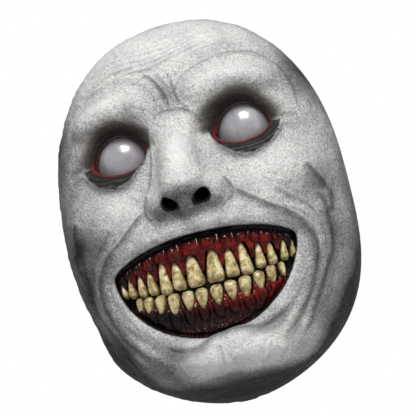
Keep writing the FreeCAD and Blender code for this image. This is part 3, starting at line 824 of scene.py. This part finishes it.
def make_eyes():
    """Domes: two bowls one inside the other, joined at their rims."""
    material = eye_material()
    rings, turns = 40, 96
    reach = math.radians(70)
    for side, _ in SIDES:
        low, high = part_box("eye_dome_" + side)
        centre = np.array([(low.x + high.x) / 2, low.y + EYE_R * MM, (low.z + high.z) / 2]) / MM
        points, faces = [], []
        for radius in (EYE_R, EYE_R - EYE_WALL):
            for i in range(rings + 1):
                tilt = reach * i / rings
                for k in range(turns):
                    turn = 2 * math.pi * k / turns
                    across, up = math.sin(tilt) * math.cos(turn), math.sin(tilt) * math.sin(turn)
                    points.append(centre + radius * np.array([across, -math.cos(tilt), up]))
        sheet = (rings + 1) * turns
        for i in range(rings):
            for k in range(turns):
                a, b = i * turns + k, i * turns + (k + 1) % turns
                faces.append((a, b, b + turns, a + turns))
                faces.append((sheet + a, sheet + a + turns, sheet + b + turns, sheet + b))
        last = rings * turns
        for k in range(turns):
            a, b = last + k, last + (k + 1) % turns
            faces.append((a, b, sheet + b, sheet + a))
        node = "eye_dome_" + side
        name = "eye_dome_milky_" + side
        piece = add_object(name, points, faces, material, MASK_BODY, [node])
        weld(piece)
        # painted shade: edge rises from the middle of the dome to its rim
        values = []
        for vertex in piece.data.vertices:
            from_axis = math.hypot(vertex.co.x / MM - centre[0], vertex.co.z / MM - centre[2])
            values.append((math.asin(min(1.0, from_axis / EYE_R)) - 0.45) / 0.6)
        paint(piece, "edge", np.array(values))


def make_seals():
    """The wet red margin of each lid: a soft tube lying on the dome, along the edge of the opening."""
    material = seal_material()
    count, turns = 120, 10
    loop = np.vstack([EYE_LOOP, EYE_LOOP[:1]])
    run = np.concatenate([[0], np.cumsum(np.hypot(*np.diff(loop, axis=0).T))])
    even = np.linspace(0, run[-1], count, endpoint=False)
    path = np.stack([np.interp(even, run, loop[:, i]) for i in (0, 1)], 1)
    centre = np.array(EYE_AT)
    for side, sign in SIDES:
        points, faces = [], []
        for i, (px, pz) in enumerate(path):
            dx, dz = px - centre[0], pz - centre[2]
            y = centre[1] - math.sqrt(EYE_R ** 2 - dx ** 2 - dz ** 2)
            middle = np.array([px, y, pz])
            out = (middle - centre) / EYE_R
            ahead = path[(i + 1) % count] - path[i - 1]
            forward = np.array([ahead[0], 0, ahead[1]])
            forward -= out * forward.dot(out)
            forward /= np.linalg.norm(forward)
            across = np.cross(out, forward)
            swell = 1 + 0.10 * math.sin(i * 1.1) + 0.06 * math.sin(i * 2.7)
            wide, tall = 1.25 * swell, 1.15 * swell
            for k in range(turns):
                t = 2 * math.pi * k / turns
                p = middle + across * (wide * math.cos(t) - 0.9) + out * (tall * math.sin(t) + 0.9)
                points.append((sign * p[0], p[1], p[2]))
        for i in range(count):
            j = (i + 1) % count
            for k in range(turns):
                m = (k + 1) % turns
                faces.append((i * turns + k, i * turns + m, j * turns + m, j * turns + k))
        node = "eye_seal_" + side
        piece = add_object("eye_seal_wet_" + side, points, faces, material, MASK_BODY, [node])
        weld(piece)
        # painted shade: darker towards the top
        heights = np.array([v.co.z for v in piece.data.vertices]) / MM
        paint(piece, "top_shade", ramp(heights, -6, 7) * 0.88)


# ---------------------------------------------------------------- teeth and gums

# Share of a tooth's full width at each share of its length, from the root to the biting edge
UPPER_OUTLINE = [(0.0, 0.26), (0.12, 0.46), (0.3, 0.66), (0.55, 0.86), (0.80, 1.0), (0.93, 1.0), (1.0, 0.90)]
LOWER_OUTLINE = [(0.0, 0.20), (0.15, 0.36), (0.3, 0.60), (0.5, 0.86), (0.7, 0.99), (0.88, 1.0), (1.0, 0.84)]


def arch_slope(x):
    """Direction of the dental arch at x, as the turn about Z of a tooth that faces out of it."""
    u = max(-0.98, min(0.98, x / ARCH_HALF_WIDTH))
    return math.atan2(ARCH_DEPTH * u, ARCH_HALF_WIDTH * math.sqrt(1 - u * u))


class Tooth:
    """One tooth of the CAD: where it stands, how it is turned and how wide it is along its length."""

    def __init__(self, node, seed):
        low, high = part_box(node)
        self.node = node
        self.upper = node.startswith("upper")
        self.centre = np.array([(low.x + high.x) / 2, (low.y + high.y) / 2, 0]) / MM
        self.slope = arch_slope(self.centre[0])
        top, bottom = high.z / MM, low.z / MM
        self.root_z, self.bite_z = (top, bottom) if self.upper else (bottom, top)
        span = (high.x - low.x) / MM
        seen_from_front = span - TOOTH_THICKNESS * 0.55 * abs(math.sin(self.slope))
        self.half = max(2.0, seen_from_front / 2 / math.cos(self.slope))
        self.rng = np.random.default_rng(seed)
        self.lean = self.rng.uniform(-3.5, 3.5)
        self.covered = 0.10 if self.upper else 0.18

    def share(self, along):
        places, widths = zip(*(UPPER_OUTLINE if self.upper else LOWER_OUTLINE))
        return np.interp(along, places, widths)

    def local(self, x, y, z):
        """Coordinates across the tooth, out of the arch and from the root (0) to the biting edge (1)."""
        dx, dy = x - self.centre[0], y - self.centre[1]
        across = dx * math.cos(self.slope) + dy * math.sin(self.slope)
        out = dx * math.sin(self.slope) - dy * math.cos(self.slope)
        along = (z - self.root_z) / (self.bite_z - self.root_z)
        return across, out, along

    def distance(self, grow):
        """Signed distance, roughly, to the tooth grown by grow."""
        def field(x, y, z):
            across, out, along = self.local(x, y, z)
            along = along + 0 * across + 0 * out
            half = self.half * self.share(np.clip(along, 0, 1)) + grow
            deep = 4.0 * (0.55 + 0.45 * np.clip(along * 2, 0, 1)) + grow
            near = np.sqrt((across / half) ** 2 + (out / deep) ** 2)
            d = (near - 1) * np.minimum(half, deep)
            beyond = np.maximum(-along, along - 1) * abs(self.bite_z - self.root_z)
            return np.maximum(d, beyond - grow)
        return field

    def build(self, material):
        """The tooth as a stack of fluted rings, closed at the root and at its uneven biting edge."""
        rows, turns = 26, 28
        length = self.bite_z - self.root_z
        ridge = self.rng.uniform(0, 6.28)
        points, root, flank = [], [], []
        for i in range(rows + 1):
            along = i / rows
            bite = max(0.0, (along - 0.86) / 0.14)
            half = self.half * float(self.share(along)) * (1 - 0.10 * bite ** 2)
            belly = 0.45 + 0.55 * math.sin(math.pi * min(1.0, 0.2 + along * 0.62))
            deep = 3.7 * belly * (1 - 0.55 * bite ** 1.6)
            for k in range(turns):
                turn = 2 * math.pi * k / turns
                c, s = math.cos(turn), math.sin(turn)
                across = half * math.copysign(abs(c) ** 0.82, c)
                out = deep * math.copysign(abs(s) ** 0.80, s)
                flute = 0.16 * math.cos(across / self.half * 7.5 + ridge) * min(1.0, along * 2) * (s > 0)
                chip = 0.35 * math.sin(across * 1.3 + ridge) * bite
                z = length * along + chip * (1 if self.upper else -1)
                points.append((across + self.lean * 0.02 * length * (along - 1), out + flute, z))
                root.append(0.9 * max(0.0, 1 - along / 0.34) ** 0.8)
                rim = 0.45 * max(0.0, (along - 0.80) / 0.20)
                flank.append(min(1.0, max(0.85 * abs(c) ** 4, rim, 0.30 * (not self.upper))))
        faces = ring_quads(rows, turns)
        for end, hump in ((0, 0.0), (rows, 0.5)):
            ring = [end * turns + k for k in range(turns)]
            middle = np.mean([points[i] for i in ring], axis=0)
            inner = []
            for i in ring:
                inner.append(len(points))
                shrunk = middle + (np.array(points[i]) - middle) * 0.55
                shrunk[2] += hump * math.copysign(1, length)
                points.append(tuple(shrunk))
                root.append(root[i])
                flank.append(0.3)
            for k in range(turns):
                faces.append((ring[k], ring[(k + 1) % turns], inner[(k + 1) % turns], inner[k]))
            faces.append(tuple(inner))
        c, s = math.cos(self.slope), math.sin(self.slope)
        cx, cy, _ = self.centre
        placed = [(cx + a * c + o * s, cy + a * s - o * c, self.root_z + z) for a, o, z in points]
        name = self.node + "_ivory"
        piece = add_object(name, placed, faces, material, MASK_BODY, [self.node])
        paint(piece, "root", np.array(root))
        paint(piece, "flank", np.array(flank))
        weld(piece)


def lip_ridges(x, z):
    """Fine upright wrinkles of the inner lip, from -1 to 1."""
    bend = 2.6 * np.sin(z * 0.42 + x * 0.13) + 2.2 * np.sin(x * 0.37) + 1.4 * np.sin(x * 0.83 + z * 0.9)
    waves = np.sin(x * 2.3 + bend) + 0.7 * np.sin(x * 3.9 - 0.7 * bend + z * 0.9 + 2.0)
    return (waves + 0.5 * np.sin(z * 1.9 + x * 0.5)) / 2.2


def make_gum(jaw, teeth, material, head):
    """One gum: a band behind the lips, swollen over each root and drawn up between the teeth."""
    low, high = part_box(jaw + "_gum")
    bottom, top = low.z / MM, high.z / MM
    field = Field((-72, -72, bottom - 2), (72, -14, top + 2), GUM_STEP)
    x, y, z = field.grid()
    reach = np.sqrt((x / ARCH_HALF_WIDTH) ** 2 + (np.minimum(y - ARCH_Y, 0) / ARCH_DEPTH) ** 2 + 1e-9)
    radius = np.sqrt(x ** 2 + (y - ARCH_Y) ** 2)
    out = radius * (1 - 1 / reach)
    mouth = loop_distance(x[:, 0, :], z[:, 0, :], MOUTH_LOOP)[:, None, :]
    upper = jaw == "upper"
    teeth = [tooth for tooth in teeth if tooth.upper == upper]
    # the front swells over the roots, then falls back towards the lips
    from_teeth = (z + 84) if upper else -(z + 124)
    swell = 1.6 - 0.10 * np.abs(from_teeth) * (from_teeth > 0)
    if not upper:
        swell = swell + 3.0 * ramp(from_teeth, 6, 20)
    front = out - swell
    back = -(out + GUM_WALL - 0.4)
    d = smooth_max(front, back, 1.2)
    d = smooth_max(d, np.abs(x) - 69.5, 1.0)
    d = smooth_max(d, (z - top) if upper else (bottom - z), 1.0)
    # the margin between the teeth curves away towards the corners of the mouth
    margin = (-97.5 - z + 0.0011 * x ** 2) if upper else (z - (-110.5 + 0.0016 * x ** 2))
    d = smooth_max(d, margin, 1.5)
    field.values = d.astype(np.float32)
    for tooth in teeth:
        cx, cy, _ = tooth.centre
        z0, z1 = sorted((tooth.root_z, tooth.bite_z))
        middle_z = tooth.root_z + (2.0 if upper else 0.8)
        forth = 2.0 if upper else 2.6
        middle = (cx + forth * math.sin(tooth.slope), cy - forth * math.cos(tooth.slope), middle_z)
        bulge = ellipsoid(middle, (tooth.half * 0.95, 4.8, 7.5))
        field.merge(bulge, (cx - 12, cy - 14, z0 - 12), (cx + 12, cy + 14, z1 + 12), 2.5, both=False)
    for tooth in teeth:
        cx, cy, _ = tooth.centre
        z0, z1 = sorted((tooth.root_z, tooth.bite_z))
        around = (cx - 12, cy - 16, z0 - 4), (cx + 12, cy + 14, z1 + 4)
        field.merge(socket_cut(tooth, tooth.distance(0.45)), *around, 0.8, carve=True, both=False)
    if not upper:
        # inner lip: fine upright wrinkles
        wrinkle = 0.40 * lip_ridges(x, z) * ramp(-z, 127, 133) * ramp(-np.abs(x), -44, -36)
        field.values += wrinkle.astype(np.float32)
    # nothing of the gum comes through the skin round the mouth
    grid = np.stack([g.ravel() for g in np.broadcast_arrays(x, y, z)], 1)
    skin_back = head.sample(grid).reshape(field.values.shape) + SKIN - 5 * ramp(-mouth, 0.5, 5.0)
    field.values = np.maximum(field.values, skin_back).astype(np.float32)
    points, quads = field.mesh()
    node = jaw + "_gum"
    piece = add_object(jaw + "_gum_wet", points, quads, material, MASK_BODY, [node])
    px, py, pz = points.T
    inside_mouth = loop_distance(px, pz, MOUTH_LOOP)
    # painted shade: black under the lip edges; the upper gum darker towards the left, the lower gum darker
    # towards the bottom and the lower left
    if upper:
        depth = 1.0 * ramp(inside_mouth, -7.5, -2.5) + 0.35 * ramp(-px, 20, 55)
    else:
        depth = 0.85 * ramp(inside_mouth, -3.0, -0.5) + 0.85 * ramp(-pz - 0.15 * px, 113, 126)
        depth += 0.45 * ramp(-px, 5, 45) * ramp(-pz, 104, 116)
    # painted shade: dark round the exposed base of each tooth, and darker towards the mouth corners
    near_tooth = np.full(len(points), 9.0)
    for tooth in teeth:
        along = tooth.local(px, py, pz)[2]
        hidden = 9.0 * (along < tooth.covered - 0.06)
        near_tooth = np.minimum(near_tooth, tooth.distance(0.0)(px, py, pz) + hidden)
    depth = np.maximum(depth, 0.9 * (1 - ramp(near_tooth, 0.3, 1.7)))
    paint(piece, "depth", depth + 0.5 * ramp(np.abs(px), 44, 60))
    paint(piece, "lip", (0 if upper else 1) * ramp(-pz, 128, 134) * ramp(-np.abs(px), -40, -28))
    # painted light and shade: the wrinkle troughs dark, the crests light
    paint(piece, "ridge", 0.5 - 0.5 * lip_ridges(px, pz))


def socket_cut(tooth, shape):
    """The tooth's own shape, drawn out forwards so that nothing hangs in front of its crown."""
    def distance(x, y, z):
        across, out, along = tooth.local(x, y, z)
        along = along + 0 * across + 0 * out
        length = abs(tooth.bite_z - tooth.root_z)
        half = tooth.half * tooth.share(np.clip(along, 0, 1)) + 0.25
        d = np.abs(across) - half
        d = np.maximum(d, -1.0 - out)
        covered = tooth.covered + 0.10 * (across / tooth.half) ** 2
        above_root = (covered - along) * length
        beyond = np.maximum(above_root, (along - 1.2) * length)
        return smooth_max(np.minimum(shape(x, y, z), np.maximum(d, beyond)), above_root, 1.0)
    return distance


def make_mouth(head):
    names = [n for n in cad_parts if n.startswith(("upper_", "lower_")) and not n.endswith("gum")]
    teeth = [Tooth(name, FIRST_TOOTH_SEED + i) for i, name in enumerate(sorted(names))]
    ivory = tooth_material()
    for tooth in teeth:
        tooth.build(ivory)
    gum = gum_material()
    for jaw in ("upper", "lower"):
        make_gum(jaw, teeth, gum, head)


def make_screen():
    """Gauze stretched over the backs of the gums: a thin bent sheet, closed at its edges."""
    low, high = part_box("mouth_screen")
    top, bottom = high.z / MM, low.z / MM
    columns, rows = 90, 40
    reach = high.x / MM - 0.3
    # even steps round the arch, not across it
    across = reach * np.sin(np.linspace(-1, 1, columns + 1) * math.pi / 2)
    points, faces = [], []
    for shift in (SCREEN_FRONT, SCREEN_BACK):
        for j in range(rows + 1):
            z = bottom + (top - bottom) * j / rows
            for x in across:
                u = x / (ARCH_HALF_WIDTH - GUM_WALL)
                slack = 0.25 * math.sin(x * 0.5) * math.sin(z * 0.4)
                y = ARCH_Y - (ARCH_DEPTH - GUM_WALL) * math.sqrt(max(0.0, 1 - u * u)) + shift + slack
                points.append((x, y, z))
    wide = columns + 1
    sheet = wide * (rows + 1)
    for j in range(rows):
        for i in range(columns):
            a = j * wide + i
            faces.append((a, a + 1, a + 1 + wide, a + wide))
            b = sheet + a
            faces.append((b, b + wide, b + 1 + wide, b + 1))
    rim = [j * wide for j in range(rows + 1)]
    border = [i for i in range(wide)] + [j * wide + columns for j in range(1, rows + 1)]
    border += [rows * wide + i for i in range(columns - 1, -1, -1)] + rim[rows - 1:0:-1]
    for a, b in zip(border, border[1:] + border[:1]):
        faces.append((b, a, sheet + a, sheet + b))
    gauze = gauze_material()
    name = "mouth_screen_gauze"
    piece = add_object(name, points, faces, gauze, MASK_BODY, ["mouth_screen"])
    weld(piece)


# ---------------------------------------------------------------- strap and its fittings

def strap_path(step=0.8):
    """Inner line of the strap, from its left end round to its right end, with the outward direction."""
    bend_y, bend_x = STRAP_BACK_Y - STRAP_BEND_R, STRAP_X - STRAP_BEND_R
    start = PIVOT_Y - STRAP_WIDTH / 2
    straight = bend_y - start
    quarter = STRAP_BEND_R * math.pi / 2
    total = 2 * straight + 2 * quarter + 2 * bend_x
    count = int(total / step)
    places = []
    for i in range(count + 1):
        s = total * i / count
        if s < straight:
            p, n = (-STRAP_X, start + s), (-1, 0)
        elif s < straight + quarter:
            t = (s - straight) / STRAP_BEND_R
            n = (-math.cos(t), math.sin(t))
            p = (-bend_x + STRAP_BEND_R * n[0], bend_y + STRAP_BEND_R * n[1])
        elif s < straight + quarter + 2 * bend_x:
            p, n = (-bend_x + s - straight - quarter, STRAP_BACK_Y), (0, 1)
        elif s < straight + 2 * quarter + 2 * bend_x:
            t = (s - straight - quarter - 2 * bend_x) / STRAP_BEND_R
            n = (math.sin(t), math.cos(t))
            p = (bend_x + STRAP_BEND_R * n[0], bend_y + STRAP_BEND_R * n[1])
        else:
            p, n = (STRAP_X, bend_y - (s - straight - 2 * quarter - 2 * bend_x)), (1, 0)
        places.append((s, min(s, total - s), p, n))
    return places


def make_strap():
    """Flat woven elastic: eleven ribs along it, thin edges and round ends."""
    ribs, lines = 11, 44
    points, faces, weave = [], [], []
    places = strap_path()
    for s, from_end, p, n in places:
        half = STRAP_WIDTH / 2
        if from_end < half:
            half = math.sqrt(max(0.04, half ** 2 - (half - from_end) ** 2))
        for face_side in (1, -1):
            for k in range(lines + 1):
                v = k / lines * 2 - 1
                rib = 0.5 + 0.5 * math.cos(v * ribs * math.pi)
                offset = math.pi if int((v + 1) * ribs) % 2 else 0
                pick = 0.5 + 0.5 * math.cos(s * 2 * math.pi / 1.6 + offset)
                edge = min(1.0, 1.3 * math.sqrt(max(0.0, 1 - v ** 8)))
                thick = (STRAP_WALL / 2) * edge * (0.84 + 0.16 * rib * pick)
                away = STRAP_WALL / 2 + face_side * thick
                points.append((p[0] + n[0] * away, p[1] + n[1] * away, PIVOT_Z + half * v))
                weave.append(rib * (0.5 + 0.5 * pick))
    wide = lines + 1
    ring = 2 * wide
    for i in range(len(places) - 1):
        for k in range(lines):
            a = i * ring + k
            faces.append((a, a + 1, a + 1 + ring, a + ring))
            b = i * ring + wide + k
            faces.append((b, b + ring, b + 1 + ring, b + 1))
        for k in (0, lines):
            a, b = i * ring + k, i * ring + wide + k
            faces.append((a, a + ring, b + ring, b) if k == 0 else (a, b, b + ring, a + ring))
    for i in (0, len(places) - 1):
        for k in range(lines):
            a, b = i * ring + k, i * ring + wide + k
            faces.append((a, b, b + 1, a + 1) if i == 0 else (a, a + 1, b + 1, b))
    webbing = webbing_material()
    piece = add_object("elastic_strap_woven", points, faces, webbing, STRAP_BODY, ["elastic_strap"])
    paint(piece, "weave", np.array(weave))
    weld(piece)


def lathe(name, profile, axis_start, material, node, sign):
    """Turn a profile of (along x, radius) about the X axis through the pivot."""
    turns = 48
    points = []
    for along, radius in profile:
        for k in range(turns):
            t = 2 * math.pi * k / turns
            y, z = PIVOT_Y + radius * math.cos(t), PIVOT_Z + radius * math.sin(t)
            points.append((sign * (axis_start + along), y, z))
    faces = ring_quads(len(profile) - 1, turns)
    weld(add_object(name, points, faces, material, MASK_BODY, [node]))


def make_fittings():
    """Rivets with a domed head and a rolled end, their washers, and the grained tabs."""
    steel = rivet_material()
    for side, sign in SIDES:
        low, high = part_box("rivet_" + side)
        inner = min(abs(low.x), abs(high.x)) / MM
        outer = max(abs(low.x), abs(high.x)) / MM
        length = outer - inner
        head = [(0.0, 0.0), (0.0, 1.2), (0.12, 2.6), (0.35, 3.8), (0.7, 4.6), (1.05, 4.95), (1.3, 4.9),
                (1.3, 2.0)]
        rolled = [(length - 0.35, 2.0), (length - 0.1, 1.85), (length, 1.5), (length - 0.5, 1.0)]
        rolled.append((length - 0.6, 0.0))
        lathe("rivet_nickel_" + side, head + rolled, inner, steel, "rivet_" + side, sign)
        low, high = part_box("rivet_washer_" + side)
        start = min(abs(low.x), abs(high.x)) / MM
        ring = [(0.0, 2.05), (0.0, 4.7), (0.25, 4.98), (0.6, 4.95), (1.0, 4.4), (1.25, 3.4), (1.3, 2.4),
                (1.1, 2.05), (0.0, 2.05)]
        lathe("rivet_washer_nickel_" + side, ring, start, steel, "rivet_washer_" + side, sign)
    leather = tab_material()
    for side, _ in SIDES:
        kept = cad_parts["strap_tab_" + side]
        kept.data.materials.clear()
        kept.data.materials.append(leather)


# ---------------------------------------------------------------- camera, light and floor

def turn_matrix():
    """Row frame to camera: turned, tilted, then rolled. Camera axes are x right, y away, z up."""
    yaw, pitch, roll = (math.radians(a) for a in (FACE_YAW, FACE_PITCH, FACE_ROLL))
    return Matrix.Rotation(roll, 3, "Y") @ Matrix.Rotation(pitch, 3, "X") @ Matrix.Rotation(yaw, 3, "Z")


def make_camera():
    turn = turn_matrix().transposed()
    place = turn @ Vector((CAMERA_ASIDE, -CAMERA_DISTANCE, -CAMERA_DOWN))
    right, away, up = (turn @ Vector(v) for v in ((1, 0, 0), (0, 1, 0), (0, 0, 1)))
    camera = bpy.data.objects.new("camera", bpy.data.cameras.new("camera"))
    camera.data.lens = LENS_MM
    camera.data.sensor_width = SENSOR_MM
    camera.data.clip_start = 0.01
    pose = Matrix((right, up, -away)).transposed().to_4x4()
    pose.translation = place
    camera.matrix_world = pose
    bpy.context.scene.collection.objects.link(camera)
    bpy.context.scene.camera = camera


def add_light(name, place, size, power):
    """A square white lamp, of a size in metres and a power in watts, turned to the mask."""
    lamp = bpy.data.lights.new(name, "AREA")
    lamp.size = size
    lamp.energy = power
    light = bpy.data.objects.new(name, lamp)
    light.location = place
    light.rotation_euler = (Vector(LIGHT_AIM) - Vector(place)).to_track_quat("-Z", "Y").to_euler()
    bpy.context.scene.collection.objects.link(light)


def make_studio():
    add_light("key", (0.16, -0.88, 0.72), 0.44, 14.5)
    add_light("fill_left", (-0.9, -0.8, 0.0), 0.9, 0.8)
    add_light("fill_right", (0.9, -0.8, 0.1), 0.9, 1.8)
    world = bpy.data.worlds.new("studio")
    bpy.context.scene.world = world
    world.use_nodes = True
    # white behind the mask, paler grey all round
    tree = world.node_tree
    background = tree.nodes["Background"]
    background.inputs["Strength"].default_value = 1.0
    ways = tree.nodes.new("ShaderNodeTexCoord")
    split = tree.nodes.new("ShaderNodeSeparateXYZ")
    wall = tree.nodes.new("ShaderNodeValToRGB")
    wall.color_ramp.elements[0].position = 0.55
    wall.color_ramp.elements[0].color = (0.24, 0.24, 0.245, 1)
    wall.color_ramp.elements[1].position = 0.80
    wall.color_ramp.elements[1].color = (1, 1, 1, 1)
    tree.links.new(ways.outputs["Generated"], split.inputs["Vector"])
    tree.links.new(split.outputs["Y"], wall.inputs["Fac"])
    tree.links.new(wall.outputs["Color"], background.inputs["Color"])
    corners = [(FLOOR_HALF * x, FLOOR_HALF * y, FLOOR_Z) for x, y in ((-1, -1), (1, -1), (1, 1), (-1, 1))]
    mesh = bpy.data.meshes.new("floor")
    mesh.from_pydata(corners, [], [(0, 1, 2, 3)])
    floor = bpy.data.objects.new("floor", mesh)
    mesh.materials.append(floor_material())
    bpy.context.scene.collection.objects.link(floor)


make_camera()
make_studio()
bpy.context.scene.view_settings.view_transform = "Standard"
head = make_skin()
make_eyes()
make_seals()
make_mouth(head)
make_screen()
make_strap()
make_fittings()
